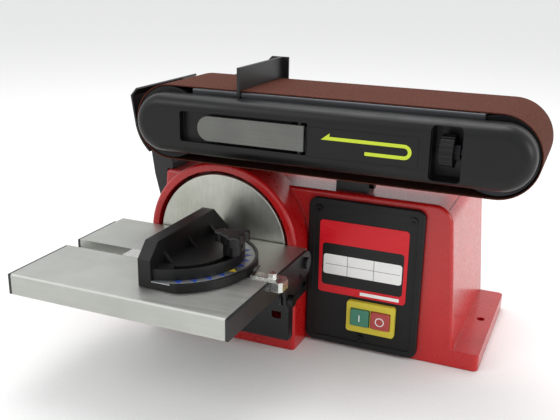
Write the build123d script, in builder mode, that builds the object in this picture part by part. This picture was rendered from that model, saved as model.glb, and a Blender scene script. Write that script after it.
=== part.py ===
"""Belt and disc sander for a bench: a 4 x 36 in belt over a 6 in disc, both driven by one motor.

Millimetres. The origin lies on the bench, midway between the two bench bolt holes.
+X runs right along the belt, +Y runs from the disc towards the back, +Z is up.
"""

import os
from math import cos, pi, radians, sin

from build123d import *

os.makedirs("parts", exist_ok=True)

# ---------------------------------------------------------------- driving dimensions

fit = 0.05            # radial clearance of every running or seated round fit
gap = 0.5             # clearance between pieces that pass each other
sheet = 2.0           # gauge of the bent steel parts
plate = 3.0           # gauge of the steel plates

# Cast body
body_width_bottom = 357.0
body_width_top = 329.0
body_height = 174.0
body_depth = 176.0
body_front_y = -90.0
body_wall = 5.0
body_top_right_radius = 20.0
body_edge_radius = 4.0
foot_span = 408.0
foot_height = 19.0
bench_hole_pitch = 382.0
bench_hole_diameter = 9.0

# Disc and its housing
disc_diameter = 150.0
disc_thickness = 9.0
disc_x = -75.0
disc_z = 112.0
disc_standoff = 35.0      # from the body's front to the disc's face
disc_margin = 4.0         # between the disc and its housing
arch_wall = 9.0
arch_lead = 2.0           # how far the housing stands ahead of the disc's face
chamber_floor = 14.0
guard_depth = 12.0

# Dust port
dust_x = -110.0
dust_z = 44.0
dust_port_diameter = 57.0
dust_bore_diameter = 51.0
dust_port_length = 30.0

# Motor
shaft_diameter = 15.0
motor_diameter = 106.0
stator_length = 60.0
rotor_diameter = 63.0
motor_bearing_diameter = 35.0
motor_bearing_width = 11.0

# Belt unit
belt_width = 100.0
belt_length = 914.4
belt_thickness = 1.0
drum_diameter = 76.2
drum_x = -127.5
drum_z = 241.5
belt_lead = 15.5          # how far the belt's front edge stands ahead of the disc's face
belt_lift = 0.3           # between the belt and the drums or the platen
drum_shaft_diameter = 12.0
drum_bearing_diameter = 32.0
drum_bearing_width = 10.0
pivot_tube_diameter = 44.0
cover_depth = 25.0
cover_height = 59.0
cover_wall = 3.0
cover_edge_radius = 12.0
tension_travel = 4.0

# Pulleys
motor_pulley_diameter = 30.0
drum_pulley_diameter = 40.0
drive_belt_width = 12.0
drive_belt_thickness = 3.0

# Table and mitre gauge
table_width = 225.0
table_depth = 184.0
table_left_x = -200.5
table_rise = 9.0          # table top above the disc's centre
table_plate = 6.0
table_skirt = 20.5
table_gap = 2.5           # between the table and the disc
slot_width = 19.5
slot_depth = 9.5
slot_offset = 88.5        # from the table's rear edge to the middle of the slot
tilt_back = 10.0          # from the table's rear edge to the tilt axis
tilt_drop = 12.0          # from the table top to the tilt axis
lock_radius = 42.0
lock_angle = 228.0        # where the lock bolt sits round the tilt axis, seen from the right
tilt_range = 45.0
mitre_x = -75.0           # the gauge's pivot
mitre_radius = 78.0
mitre_drum_radius = 65.0
mitre_drum_rise = 11.0    # how far the middle of the head stands above its scale
mitre_knob_radius = 59.0
mitre_swing = 60.0

# Control panel
panel_left_x = 14.5
panel_width = 125.0
panel_height = 165.0
panel_bottom_z = 2.5
panel_thickness = 6.0
switch_x = 89.0
switch_z = 41.0
switch_width = 53.0
switch_height = 35.0
button_width = 20.5
button_height = 19.0
button_pitch = 22.5
button_travel = 3.0

# ---------------------------------------------------------------- derived places

body_rear_y = body_front_y + body_depth
body_mid_y = body_front_y + body_depth / 2
disc_face_y = body_front_y - disc_standoff
disc_back_y = disc_face_y + disc_thickness
arch_front_y = disc_face_y - arch_lead
chamber_radius = disc_diameter / 2 + disc_margin
arch_radius = chamber_radius + arch_wall

drum_radius = drum_diameter / 2
belt_inner_radius = drum_radius + belt_lift
belt_outer_radius = belt_inner_radius + belt_thickness
belt_mean_radius = belt_inner_radius + belt_thickness / 2
drum_pitch = (belt_length - 2 * pi * belt_mean_radius) / 2
idler_x = drum_x + drum_pitch
belt_front_y = disc_face_y - belt_lead
belt_rear_y = belt_front_y + belt_width
belt_mid_y = belt_front_y + belt_width / 2
belt_top_z = drum_z + belt_outer_radius
web_front_y = belt_front_y - gap - sheet          # front face of the front web
web_rear_y = belt_rear_y + gap + sheet            # rear face of the rear web
platen_top_z = drum_z + belt_inner_radius - belt_lift
cover_back_y = web_front_y - sheet
cover_front_y = cover_back_y - cover_depth
cover_top_z = platen_top_z - 5.0
cover_mid_z = cover_top_z - cover_height / 2
cover_left_x = drum_x - 25.0
cover_right_x = idler_x + 36.0

post_front_y = body_mid_y + 22.0
post_rear_y = post_front_y + 58.0
tube_rear_y = post_rear_y + 3.0
pulley_front_y = body_rear_y + 6.0
pulley_width = drive_belt_width + 2.0
pulley_rear_y = pulley_front_y + pulley_width

table_top_z = disc_z + table_rise
table_rear_y = disc_face_y - table_gap
table_front_y = table_rear_y - table_depth
table_right_x = table_left_x + table_width
slot_y = table_rear_y - slot_offset
tilt_y = table_rear_y - tilt_back
tilt_z = table_top_z - tilt_drop
bracket_x = arch_radius                            # inner face of each fixed bracket, from the disc's axis
trunnion_x = bracket_x + 2 * plate                 # inner face of each moving trunnion


def front_plane(y):
    """Upright plane at y, facing forward: its x runs along +X and its y along +Z."""
    return Plane(origin=(0, y, 0), x_dir=(1, 0, 0), z_dir=(0, -1, 0))


def side_plane(x):
    """Upright plane at x, facing right: its x runs along +Y and its y along +Z."""
    return Plane(origin=(x, 0, 0), x_dir=(0, 1, 0), z_dir=(1, 0, 0))


def polar(centre, radius, angle):
    """Point at a radius and an angle in degrees round a centre."""
    return (centre[0] + radius * cos(radians(angle)), centre[1] + radius * sin(radians(angle)))


def ring(plane, centre, outer, inner, length):
    """Round solid with a bore, extruded from its plane, added to the part being built."""
    with BuildSketch(plane) as section:
        with Locations(centre):
            Circle(outer)
            if inner > 0:
                Circle(inner, mode=Mode.SUBTRACT)
    extrude(section.sketch, amount=length)


def half_width(z):
    """Half the body's width at height z, between its drafted sides."""
    return (body_width_bottom + (body_width_top - body_width_bottom) * z / body_height) / 2


disc_axis = (disc_x, disc_z)
dust_axis = (dust_x, dust_z)
drum_axis = (drum_x, drum_z)
idler_axis = (idler_x, drum_z)
tilt_axis = (tilt_y, tilt_z)

# ---------------------------------------------------------------- base

with BuildPart() as base_casting:
    with BuildSketch(front_plane(body_rear_y)) as body_profile:
        with BuildLine():
            Polyline(
                (-half_width(0), 0),
                (half_width(0), 0),
                (half_width(body_height), body_height),
                (-half_width(body_height), body_height),
                close=True,
            )
        make_face()
        fillet(body_profile.vertices().group_by(Axis.Y)[-1].sort_by(Axis.X)[-1], body_top_right_radius)
        fillet(body_profile.vertices().group_by(Axis.Y)[-1].sort_by(Axis.X)[0], body_edge_radius)
    extrude(amount=body_depth)
    front_face = base_casting.faces().sort_by(Axis.Y)[0]
    fillet(front_face.edges().sort_by(Axis.Z)[1:], body_edge_radius)
    with BuildSketch():
        with Locations((0, body_mid_y)):
            RectangleRounded(foot_span, body_depth, 6.0)
    extrude(amount=foot_height)
    with BuildSketch(front_plane(body_front_y + 2 * body_wall)):
        with Locations(disc_axis):
            Circle(arch_radius)
        with Locations((disc_x, disc_z / 2)):
            Rectangle(2 * arch_radius, disc_z)
    extrude(amount=body_front_y + 2 * body_wall - arch_front_y)
    arch_face = base_casting.faces().sort_by(Axis.Y)[0]
    fillet(arch_face.edges().sort_by(Axis.Z)[1:], body_edge_radius)
    with BuildSketch(front_plane(body_rear_y - body_wall)):
        with BuildLine():
            Polyline(
                (-half_width(0) + body_wall, -1),
                (half_width(0) - body_wall, -1),
                (half_width(body_height) - body_wall, body_height - body_wall),
                (-half_width(body_height) + body_wall, body_height - body_wall),
                close=True,
            )
        make_face()
    extrude(amount=body_depth - 2 * body_wall, mode=Mode.SUBTRACT)
    with BuildSketch(front_plane(body_front_y)):
        with Locations(disc_axis):
            Circle(chamber_radius)
        with Locations((disc_x, (chamber_floor + disc_z) / 2)):
            Rectangle(2 * chamber_radius, disc_z - chamber_floor)
    extrude(amount=body_front_y - arch_front_y, mode=Mode.SUBTRACT)
    with BuildSketch(front_plane(body_rear_y + 1)):
        with Locations(disc_axis):
            Circle(motor_bearing_diameter / 2)
    extrude(amount=body_depth + 2, mode=Mode.SUBTRACT)
    with BuildSketch(front_plane(body_front_y + body_wall + 1)):
        with Locations((switch_x, switch_z)):
            Rectangle(switch_width - 2, switch_height - 4)
    extrude(amount=body_wall + 2, mode=Mode.SUBTRACT)
    with BuildSketch(front_plane(body_rear_y + 1)):
        with Locations(dust_axis):
            Circle(dust_bore_diameter / 2)
    extrude(amount=body_depth + 2, mode=Mode.SUBTRACT)
    with Locations((-bench_hole_pitch / 2, 0, foot_height), (bench_hole_pitch / 2, 0, foot_height)):
        Hole(bench_hole_diameter / 2, depth=foot_height)
base_casting.part.label = "base_casting"
export_step(base_casting.part, "parts/base_casting.step")

with BuildPart() as bottom_plate:
    with Locations((0, body_mid_y, 0)):
        Box(
            body_width_bottom - 2 * body_wall - 2 * gap,
            body_depth - 2 * body_wall - 2 * gap,
            sheet,
            align=(Align.CENTER, Align.CENTER, Align.MIN),
        )
    with BuildSketch(Plane.XY):
        with Locations((body_width_bottom / 4, body_mid_y)):
            with GridLocations(0, 14.0, 1, 7):
                SlotOverall(60.0, 5.0)
    extrude(amount=sheet, mode=Mode.SUBTRACT)
bottom_plate.part.label = "bottom_plate"
export_step(bottom_plate.part, "parts/bottom_plate.step")

with BuildPart() as disc_lower_guard:
    guard_top_z = disc_z - 6.0
    guard_bottom_z = chamber_floor + 3.0
    guard_middle = (disc_x, (guard_top_z + guard_bottom_z) / 2)
    guard_width = 2 * arch_radius - 4.0
    guard_height = guard_top_z - guard_bottom_z
    with BuildSketch(front_plane(arch_front_y)):
        with Locations(guard_middle):
            Rectangle(guard_width, guard_height)
    extrude(amount=guard_depth)
    with BuildSketch(front_plane(arch_front_y)):
        with Locations((disc_x, guard_middle[1] + sheet)):
            Rectangle(guard_width - 2 * sheet, guard_height)
    extrude(amount=guard_depth - sheet, mode=Mode.SUBTRACT)
    with BuildSketch(front_plane(arch_front_y)):
        with Locations((disc_x + 72.0, disc_z - 67.0)):
            Rectangle(11.0, 8.0)
    extrude(amount=guard_depth, mode=Mode.SUBTRACT)
disc_lower_guard.part.label = "disc_lower_guard"
export_step(disc_lower_guard.part, "parts/disc_lower_guard.step")

with BuildPart() as dust_port:
    with BuildSketch(front_plane(body_rear_y + sheet)):
        with Locations(dust_axis):
            Circle(dust_port_diameter / 2 + 9.0)
            Circle(dust_bore_diameter / 2, mode=Mode.SUBTRACT)
    extrude(amount=sheet)
    ring(
        front_plane(body_rear_y + dust_port_length),
        dust_axis,
        dust_port_diameter / 2,
        dust_bore_diameter / 2,
        dust_port_length - sheet,
    )
dust_port.part.label = "dust_port"
export_step(dust_port.part, "parts/dust_port.step")

# ---------------------------------------------------------------- control panel and switch

panel_mid = (panel_left_x + panel_width / 2, panel_bottom_z + panel_height / 2)
panel_front_y = body_front_y - panel_thickness
panel_recess = 1.2
panel_border = 7.0
panel_inset = 11.5
panel_screw_places = [
    (panel_left_x + panel_inset, panel_bottom_z + panel_height - panel_inset),
    (panel_left_x + panel_width - panel_inset, panel_bottom_z + panel_height - panel_inset),
    (panel_mid[0], panel_bottom_z + panel_inset),
]
label_mid = (panel_left_x + 61.5, disc_z - 9.0)
label_width = 97.0
label_height = 82.0
label_thickness = 0.6
switch_axis = (switch_x, switch_z)
button_x = {"start_button": switch_x - button_pitch / 2, "stop_button": switch_x + button_pitch / 2}

with BuildPart() as control_panel:
    with BuildSketch(front_plane(body_front_y)):
        with Locations(panel_mid):
            RectangleRounded(panel_width, panel_height, 9.0)
    extrude(amount=panel_thickness)
    front_edges = control_panel.faces().sort_by(Axis.Y)[0].edges()
    fillet(front_edges, 1.5)
    with BuildSketch(front_plane(panel_front_y + panel_recess)):
        with Locations(panel_mid):
            RectangleRounded(panel_width - 2 * panel_border, panel_height - 2 * panel_border, 5.0)
    extrude(amount=panel_recess, mode=Mode.SUBTRACT)
    with BuildSketch(front_plane(body_front_y)):
        with Locations(switch_axis):
            Rectangle(switch_width - 2, switch_height - 4)
        with Locations(panel_screw_places):
            Circle(2.0)
    extrude(amount=panel_thickness, mode=Mode.SUBTRACT)
control_panel.part.label = "control_panel"
export_step(control_panel.part, "parts/control_panel.step")

with BuildPart() as panel_label:
    with BuildSketch(front_plane(panel_front_y + panel_recess)):
        with Locations(label_mid):
            RectangleRounded(label_width, label_height, 4.0)
    extrude(amount=label_thickness)
panel_label.part.label = "panel_label"
export_step(panel_label.part, "parts/panel_label.step")

with BuildPart() as panel_screws:
    with BuildSketch(front_plane(body_front_y)):
        with Locations(panel_screw_places):
            Circle(2.0 - fit)
    extrude(amount=panel_thickness - panel_recess)
    with BuildSketch(front_plane(panel_front_y + panel_recess)):
        with Locations(panel_screw_places):
            Circle(3.8)
    extrude(amount=2.0)
    with BuildSketch(front_plane(panel_front_y + panel_recess - 1.0)):
        with Locations(panel_screw_places):
            Rectangle(4.4, 1.0)
            Rectangle(1.0, 4.4)
    extrude(amount=2.0, mode=Mode.SUBTRACT)
panel_screws.part.label = "panel_screws"
export_step(panel_screws.part, "parts/panel_screws.step")

with BuildPart() as switch_frame:
    with BuildSketch(front_plane(panel_front_y + panel_recess)):
        with Locations(switch_axis):
            RectangleRounded(switch_width, switch_height, 3.0)
    extrude(amount=5.0)
    with BuildSketch(front_plane(panel_front_y + panel_recess)):
        with Locations(switch_axis):
            with GridLocations(button_pitch, 0, 2, 1):
                Rectangle(button_width + 2 * gap, button_height + 2 * gap)
    extrude(amount=5.0, mode=Mode.SUBTRACT)
switch_frame.part.label = "switch_frame"
export_step(switch_frame.part, "parts/switch_frame.step")

with BuildPart() as switch_body:
    switch_front_y = panel_front_y + panel_recess
    with BuildSketch(front_plane(switch_front_y + 34.0)):
        with Locations(switch_axis):
            Rectangle(switch_width - 2 - 2 * gap, switch_height - 4 - 2 * gap)
    extrude(amount=34.0)
    with BuildSketch(front_plane(switch_front_y + 10.0)):
        with Locations(switch_axis):
            with GridLocations(button_pitch, 0, 2, 1):
                Rectangle(button_width + 2 * gap, button_height + 2 * gap)
    extrude(amount=10.0, mode=Mode.SUBTRACT)
switch_body.part.label = "switch_body"
export_step(switch_body.part, "parts/switch_body.step")

for button_name, x in button_x.items():
    with BuildPart() as button:
        with BuildSketch(front_plane(switch_front_y + 10.0 - button_travel - gap)):
            with Locations((x, switch_z)):
                RectangleRounded(button_width, button_height, 2.0)
        extrude(amount=10.0 - button_travel - gap + 8.0)
        fillet(button.faces().sort_by(Axis.Y)[0].edges(), 1.2)
    button.part.label = button_name
    export_step(button.part, f"parts/{button_name}.step")

with BuildPart() as cable_gland:
    gland_axis = (body_width_bottom / 2 - 40.0, 40.0)
    with BuildSketch(front_plane(body_rear_y + 6.0)):
        with Locations(gland_axis):
            RegularPolygon(11.0, 6)
            Circle(4.0, mode=Mode.SUBTRACT)
    extrude(amount=6.0)
    ring(front_plane(body_rear_y + 18.0), gland_axis, 8.0, 4.0, 12.0)
cable_gland.part.label = "cable_gland"
export_step(cable_gland.part, "parts/cable_gland.step")

# ---------------------------------------------------------------- motor

motor_radius = motor_diameter / 2
shield_radius = motor_radius + sheet
bearing_seat = motor_bearing_diameter / 2
shield_front_y = body_front_y + body_wall
stator_front_y = shield_front_y + 30.0
stator_rear_y = stator_front_y + stator_length
shield_rear_y = stator_rear_y + 45.0

with BuildPart() as motor_end_shields:
    ring(front_plane(shield_front_y + 8.0), disc_axis, shield_radius, bearing_seat + fit, 8.0)
    ring(front_plane(shield_front_y + 14.0), disc_axis, bearing_seat + 5.0, bearing_seat + fit, 6.0)
    ring(front_plane(stator_front_y + 5.0), disc_axis, shield_radius, motor_radius + fit, 27.0)
    ring(front_plane(shield_rear_y), disc_axis, shield_radius, bearing_seat + fit, 8.0)
    ring(front_plane(shield_rear_y - 8.0), disc_axis, bearing_seat + 5.0, bearing_seat + fit, 6.0)
    ring(front_plane(shield_rear_y - 8.0), disc_axis, shield_radius, motor_radius + fit, 42.0)
motor_end_shields.part.label = "motor_end_shields"
export_step(motor_end_shields.part, "parts/motor_end_shields.step")

with BuildPart() as motor_bearings:
    for y in (shield_front_y + 12.0, shield_rear_y - 1.0):
        ring(front_plane(y), disc_axis, bearing_seat, shaft_diameter / 2 + fit, motor_bearing_width)
motor_bearings.part.label = "motor_bearings"
export_step(motor_bearings.part, "parts/motor_bearings.step")

with BuildPart() as stator_core:
    ring(front_plane(stator_rear_y), disc_axis, motor_radius, rotor_diameter / 2 + gap, stator_length)
stator_core.part.label = "stator_core"
export_step(stator_core.part, "parts/stator_core.step")

with BuildPart() as stator_windings:
    ring(front_plane(stator_front_y - gap), disc_axis, 48.0, 36.0, 13.0)
    ring(front_plane(stator_rear_y + gap + 13.0), disc_axis, 48.0, 36.0, 13.0)
stator_windings.part.label = "stator_windings"
export_step(stator_windings.part, "parts/stator_windings.step")

with BuildPart() as rotor_core:
    ring(front_plane(stator_rear_y), disc_axis, rotor_diameter / 2, shaft_diameter / 2 + fit, stator_length)
rotor_core.part.label = "rotor_core"
export_step(rotor_core.part, "parts/rotor_core.step")

with BuildPart() as motor_fan:
    fan_rear_y = stator_rear_y + 28.0
    ring(front_plane(fan_rear_y), disc_axis, 40.0, shaft_diameter / 2 + fit, 2.0)
    ring(front_plane(fan_rear_y - 2.0), disc_axis, 13.0, shaft_diameter / 2 + fit, 10.0)
    with BuildSketch(front_plane(fan_rear_y - 2.0)):
        with Locations(disc_axis):
            with PolarLocations(24.0, 9):
                Rectangle(25.0, 2.0)
    extrude(amount=10.0)
motor_fan.part.label = "motor_fan"
export_step(motor_fan.part, "parts/motor_fan.step")

with BuildPart() as motor_shaft:
    ring(front_plane(pulley_rear_y + 1.0), disc_axis, shaft_diameter / 2, 0, pulley_rear_y + 1.0 - disc_back_y)
motor_shaft.part.label = "motor_shaft"
export_step(motor_shaft.part, "parts/motor_shaft.step")

with BuildPart() as sanding_disc:
    ring(front_plane(disc_back_y), disc_axis, disc_diameter / 2, 0, disc_thickness)
    fillet(sanding_disc.faces().sort_by(Axis.Y)[0].edges(), 1.0)
    ring(front_plane(body_front_y - 3.0), disc_axis, 18.0, shaft_diameter / 2 + fit, body_front_y - 3.0 - disc_back_y)
sanding_disc.part.label = "sanding_disc"
export_step(sanding_disc.part, "parts/sanding_disc.step")

with BuildPart() as capacitor:
    capacitor_axis = (60.0, disc_z - 12.0)
    ring(front_plane(body_rear_y - body_wall), capacitor_axis, 20.0, 0, 80.0)
capacitor.part.label = "capacitor"
export_step(capacitor.part, "parts/capacitor.step")


# ---------------------------------------------------------------- belt unit: fixed supports

with BuildPart() as belt_post:
    post_web_y = (post_front_y + post_rear_y) / 2
    with BuildSketch(Plane.XY.offset(body_height)):
        with Locations((drum_x, post_web_y)):
            Rectangle(64.0, post_rear_y - post_front_y)
    extrude(amount=12.0)
    with BuildSketch(front_plane(post_web_y + 9.0)):
        with Locations((drum_x, (body_height + drum_z) / 2)):
            Rectangle(50.0, drum_z - body_height)
    extrude(amount=18.0)
    ring(front_plane(post_rear_y), drum_axis, pivot_tube_diameter / 2 + 8.0, 0, post_rear_y - post_front_y)
    with BuildSketch(front_plane(post_rear_y)):
        with Locations(drum_axis):
            Circle(pivot_tube_diameter / 2)
    extrude(amount=post_rear_y - post_front_y, mode=Mode.SUBTRACT)
    with BuildSketch(side_plane(drum_x - 40.0)):
        with Locations((post_front_y + 10.0, drum_z)):
            Circle(4.0)
    extrude(amount=40.0, mode=Mode.SUBTRACT)
belt_post.part.label = "belt_post"
export_step(belt_post.part, "parts/belt_post.step")

with BuildPart() as rest_block:
    block_width = 36.0
    block_x = 56.0
    block_front_y = body_front_y + 11.0
    block_top_z = drum_z - belt_outer_radius - 2.0
    with BuildSketch(front_plane(block_front_y + 20.0)):
        with Locations((block_x, (body_height + block_top_z) / 2)):
            Rectangle(block_width, block_top_z - body_height)
    extrude(amount=20.0)
    fillet(rest_block.edges().filter_by(Axis.Y).group_by(Axis.Z)[-1], 2.0)
rest_block.part.label = "rest_block"
export_step(rest_block.part, "parts/rest_block.step")

with BuildPart() as support_bolts:
    lock_bolt_axis = (post_front_y + 10.0, drum_z)
    lock_bolt_tip_x = drum_x - pivot_tube_diameter / 2 - gap
    ring(side_plane(lock_bolt_tip_x - 22.0), lock_bolt_axis, 4.0 - fit, 0, 22.0)
    with BuildSketch(side_plane(lock_bolt_tip_x - 28.0)):
        with Locations(lock_bolt_axis):
            RegularPolygon(7.5, 6)
    extrude(amount=6.0)
    with BuildSketch(side_plane(block_x + block_width / 2)):
        with Locations((block_front_y + 7.0, body_height + 9.0)):
            RegularPolygon(5.5, 6)
    extrude(amount=4.5)
support_bolts.part.label = "support_bolts"
export_step(support_bolts.part, "parts/support_bolts.step")

with BuildPart() as dust_chute:
    chute_front_y = body_front_y + 5.0
    chute_length = 85.0
    chute_skin = 2.5
    chute_wall_x = -half_width(body_height)
    with BuildSketch(front_plane(chute_front_y + chute_length)) as chute_outline:
        with BuildLine():
            Polyline(
                (chute_wall_x - 22.0, body_height + 20.0),
                (chute_wall_x - 13.0, body_height + 27.0),
                (chute_wall_x + 1.0, body_height + 21.0),
                (chute_wall_x + 6.0, body_height + 7.0),
                (chute_wall_x + 6.0, body_height + 0.3),
                (-half_width(body_height - 6.0) - gap, body_height + 0.3),
                (-half_width(body_height - 40.0) - gap, body_height - 40.0),
                (chute_wall_x - 9.0, body_height - 43.0),
                (chute_wall_x - 18.0, body_height - 8.0),
                close=True,
            )
        make_face()
    extrude(amount=chute_length)
    with BuildSketch(front_plane(chute_front_y + chute_length - chute_skin)):
        add(offset(chute_outline.sketch_local, amount=-chute_skin, kind=Kind.INTERSECTION, mode=Mode.PRIVATE))
    extrude(amount=chute_length - 2 * chute_skin, mode=Mode.SUBTRACT)
    with BuildSketch(front_plane(chute_front_y + chute_length - chute_skin)):
        with Locations((chute_wall_x - 8.0, body_height + 24.0)):
            Rectangle(11.0, 12.0)
    extrude(amount=chute_length - 2 * chute_skin, mode=Mode.SUBTRACT)
dust_chute.part.label = "dust_chute"
export_step(dust_chute.part, "parts/dust_chute.step")

cover_outline_radius = 34.0

with BuildPart() as pulley_backplate:
    with BuildSketch(front_plane(body_rear_y + sheet)):
        with Locations(disc_axis, drum_axis):
            Circle(cover_outline_radius)
        make_hull()
        with Locations(disc_axis):
            Circle(bearing_seat, mode=Mode.SUBTRACT)
        with Locations(drum_axis):
            Circle(drum_bearing_diameter / 2, mode=Mode.SUBTRACT)
    extrude(amount=sheet)
pulley_backplate.part.label = "pulley_backplate"
export_step(pulley_backplate.part, "parts/pulley_backplate.step")

with BuildPart() as pulley_cover:
    pulley_cover_rear_y = pulley_rear_y + 7.0
    with BuildSketch(front_plane(pulley_cover_rear_y)):
        with Locations(disc_axis, drum_axis):
            Circle(cover_outline_radius)
        make_hull()
    extrude(amount=pulley_cover_rear_y - body_rear_y - sheet)
    fillet(pulley_cover.faces().sort_by(Axis.Y)[-1].edges(), 4.0)
    with BuildSketch(front_plane(pulley_cover_rear_y - 2.5)):
        with Locations(disc_axis, drum_axis):
            Circle(cover_outline_radius - 2.5)
        make_hull()
    extrude(amount=pulley_cover_rear_y - 2.5 - body_rear_y - sheet, mode=Mode.SUBTRACT)
    with BuildSketch(front_plane(pulley_cover_rear_y)):
        with Locations(((disc_x + drum_x) / 2, (disc_z + drum_z) / 2)):
            Circle(3.0 + fit)
    extrude(amount=2.5, mode=Mode.SUBTRACT)
pulley_cover.part.label = "pulley_cover"
export_step(pulley_cover.part, "parts/pulley_cover.step")

with BuildPart() as pulley_cover_screws:
    screw_middle = ((disc_x + drum_x) / 2, (disc_z + drum_z) / 2)
    ring(front_plane(pulley_cover_rear_y + 3.0), screw_middle, 6.0, 0, 3.0)
    ring(front_plane(pulley_cover_rear_y), screw_middle, 3.0, 0, 2.4)
pulley_cover_screws.part.label = "pulley_cover_screw"
export_step(pulley_cover_screws.part, "parts/pulley_cover_screw.step")

with BuildPart() as drive_belt:
    belt_plane = front_plane(pulley_front_y + 1.0 + drive_belt_width)
    small_radius = motor_pulley_diameter / 2 + 0.3
    large_radius = drum_pulley_diameter / 2 + 0.3
    with BuildSketch(belt_plane):
        with Locations(disc_axis):
            Circle(small_radius + drive_belt_thickness)
        with Locations(drum_axis):
            Circle(large_radius + drive_belt_thickness)
        make_hull()
    extrude(amount=drive_belt_width)
    with BuildSketch(belt_plane):
        with Locations(disc_axis):
            Circle(small_radius)
        with Locations(drum_axis):
            Circle(large_radius)
        make_hull()
    extrude(amount=drive_belt_width, mode=Mode.SUBTRACT)
drive_belt.part.label = "drive_belt"
export_step(drive_belt.part, "parts/drive_belt.step")

with BuildPart() as motor_pulley:
    ring(front_plane(pulley_rear_y), disc_axis, motor_pulley_diameter / 2, shaft_diameter / 2 + fit, pulley_width)
    ring(front_plane(pulley_rear_y), disc_axis, motor_pulley_diameter / 2 + 4.0, shaft_diameter / 2 + fit, 0.8)
motor_pulley.part.label = "motor_pulley"
export_step(motor_pulley.part, "parts/motor_pulley.step")

# ---------------------------------------------------------------- belt unit: arm

frame_left_x = drum_x - pivot_tube_diameter / 2
frame_right_x = idler_x + 8.5
frame_bottom_z = cover_top_z - cover_height - 4.5
frame_top_z = cover_top_z - cover_wall
frame_mid_z = (frame_bottom_z + frame_top_z) / 2
beam_left_x = drum_x + drum_radius + 7.0
beam_right_x = idler_x - 76.0
platen_thickness = 3.0
beam_top_z = platen_top_z - platen_thickness
beam_bottom_z = drum_z - 15.0
knob_y = cover_front_y + 11.0
knob_z = cover_mid_z + 2.0
knob_radius = 15.0
knob_x = idler_x - 39.5
knob_length = 12.0
lug_left_x = knob_x + 23.0
lug_width = 5.0
axle_radius = 6.0
stop_x = drum_x + 83.0
stop_top_z = belt_top_z + 23.0
stop_screw_places = [(stop_x - 9.0, frame_top_z - 8.0), (stop_x - 9.0, frame_top_z - 22.0)]

with BuildPart() as belt_frame:
    for web_plane_y in (web_front_y + sheet, web_rear_y):
        with BuildSketch(front_plane(web_plane_y)):
            with Locations(((frame_left_x + frame_right_x) / 2, frame_mid_z)):
                RectangleRounded(frame_right_x - frame_left_x, frame_top_z - frame_bottom_z, 10.0)
        extrude(amount=sheet)
    with BuildSketch(side_plane(beam_left_x)):
        with Locations((belt_mid_y, (beam_top_z + beam_bottom_z) / 2)):
            Rectangle(web_rear_y - web_front_y - 2 * sheet, beam_top_z - beam_bottom_z)
            Rectangle(web_rear_y - web_front_y - 4 * sheet, beam_top_z - beam_bottom_z - 2 * sheet, mode=Mode.SUBTRACT)
    extrude(amount=beam_right_x - beam_left_x)
    with BuildSketch(side_plane(beam_right_x - sheet)):
        with Locations((belt_mid_y, (beam_top_z + beam_bottom_z) / 2)):
            Rectangle(web_rear_y - web_front_y - 3 * sheet, beam_top_z - beam_bottom_z - sheet)
        with Locations((belt_mid_y, drum_z)):
            Rectangle(20.0 + 2 * gap, 13.0 + 2 * gap, mode=Mode.SUBTRACT)
    extrude(amount=sheet)
    ring(front_plane(web_front_y), drum_axis, drum_bearing_diameter / 2 + 3.0, 0, drum_bearing_width)
    ring(front_plane(tube_rear_y), drum_axis, pivot_tube_diameter / 2 - fit, 0, tube_rear_y - web_rear_y)
    with BuildSketch(front_plane(tube_rear_y)):
        with Locations(drum_axis):
            Circle(drum_bearing_diameter / 2 + fit)
    extrude(amount=tube_rear_y - web_front_y + drum_bearing_width, mode=Mode.SUBTRACT)
    with BuildSketch(front_plane(web_front_y + sheet)):
        with Locations((frame_right_x - 10.0, drum_z)):
            Rectangle(20.0, 2 * axle_radius + 2 * gap)
    extrude(amount=sheet, mode=Mode.SUBTRACT)
    with BuildSketch(side_plane(lug_left_x)):
        with Locations(((web_front_y + knob_y - 7.0) / 2, knob_z)):
            Rectangle(web_front_y - knob_y + 7.0, 14.0)
        with Locations((knob_y, knob_z)):
            Circle(4.0, mode=Mode.SUBTRACT)
    extrude(amount=lug_width)
    with BuildSketch(front_plane(web_rear_y)):
        with Locations(stop_screw_places):
            Circle(2.5)
    extrude(amount=sheet, mode=Mode.SUBTRACT)
belt_frame.part.label = "belt_frame"
export_step(belt_frame.part, "parts/belt_frame.step")

with BuildPart() as platen:
    platen_left_x = drum_x + 31.0
    platen_right_x = idler_x - 13.0
    with BuildSketch(front_plane(web_front_y)):
        with Locations(((platen_left_x + platen_right_x) / 2, platen_top_z - 6.5)):
            Rectangle(platen_right_x - platen_left_x, 13.0)
    extrude(amount=sheet)
    with BuildSketch(Plane.XY.offset(beam_top_z)):
        with Locations(((platen_left_x + platen_right_x - 9.0) / 2, (web_front_y + belt_rear_y - gap) / 2)):
            Rectangle(platen_right_x - 9.0 - platen_left_x, belt_rear_y - gap - web_front_y)
    extrude(amount=platen_thickness)
    fillet(platen.edges().filter_by(Axis.X).group_by(Axis.Z)[-1].sort_by(Axis.Y)[0], 1.5)
platen.part.label = "platen"
export_step(platen.part, "parts/platen.step")

with BuildPart() as sanding_belt:
    for radius, mode in ((belt_outer_radius, Mode.ADD), (belt_inner_radius, Mode.SUBTRACT)):
        with BuildSketch(front_plane(belt_rear_y)):
            with Locations(((drum_x + idler_x) / 2, drum_z)):
                SlotCenterToCenter(drum_pitch, 2 * radius)
        extrude(amount=belt_width, mode=mode)
sanding_belt.part.label = "sanding_belt"
export_step(sanding_belt.part, "parts/sanding_belt.step")

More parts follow.
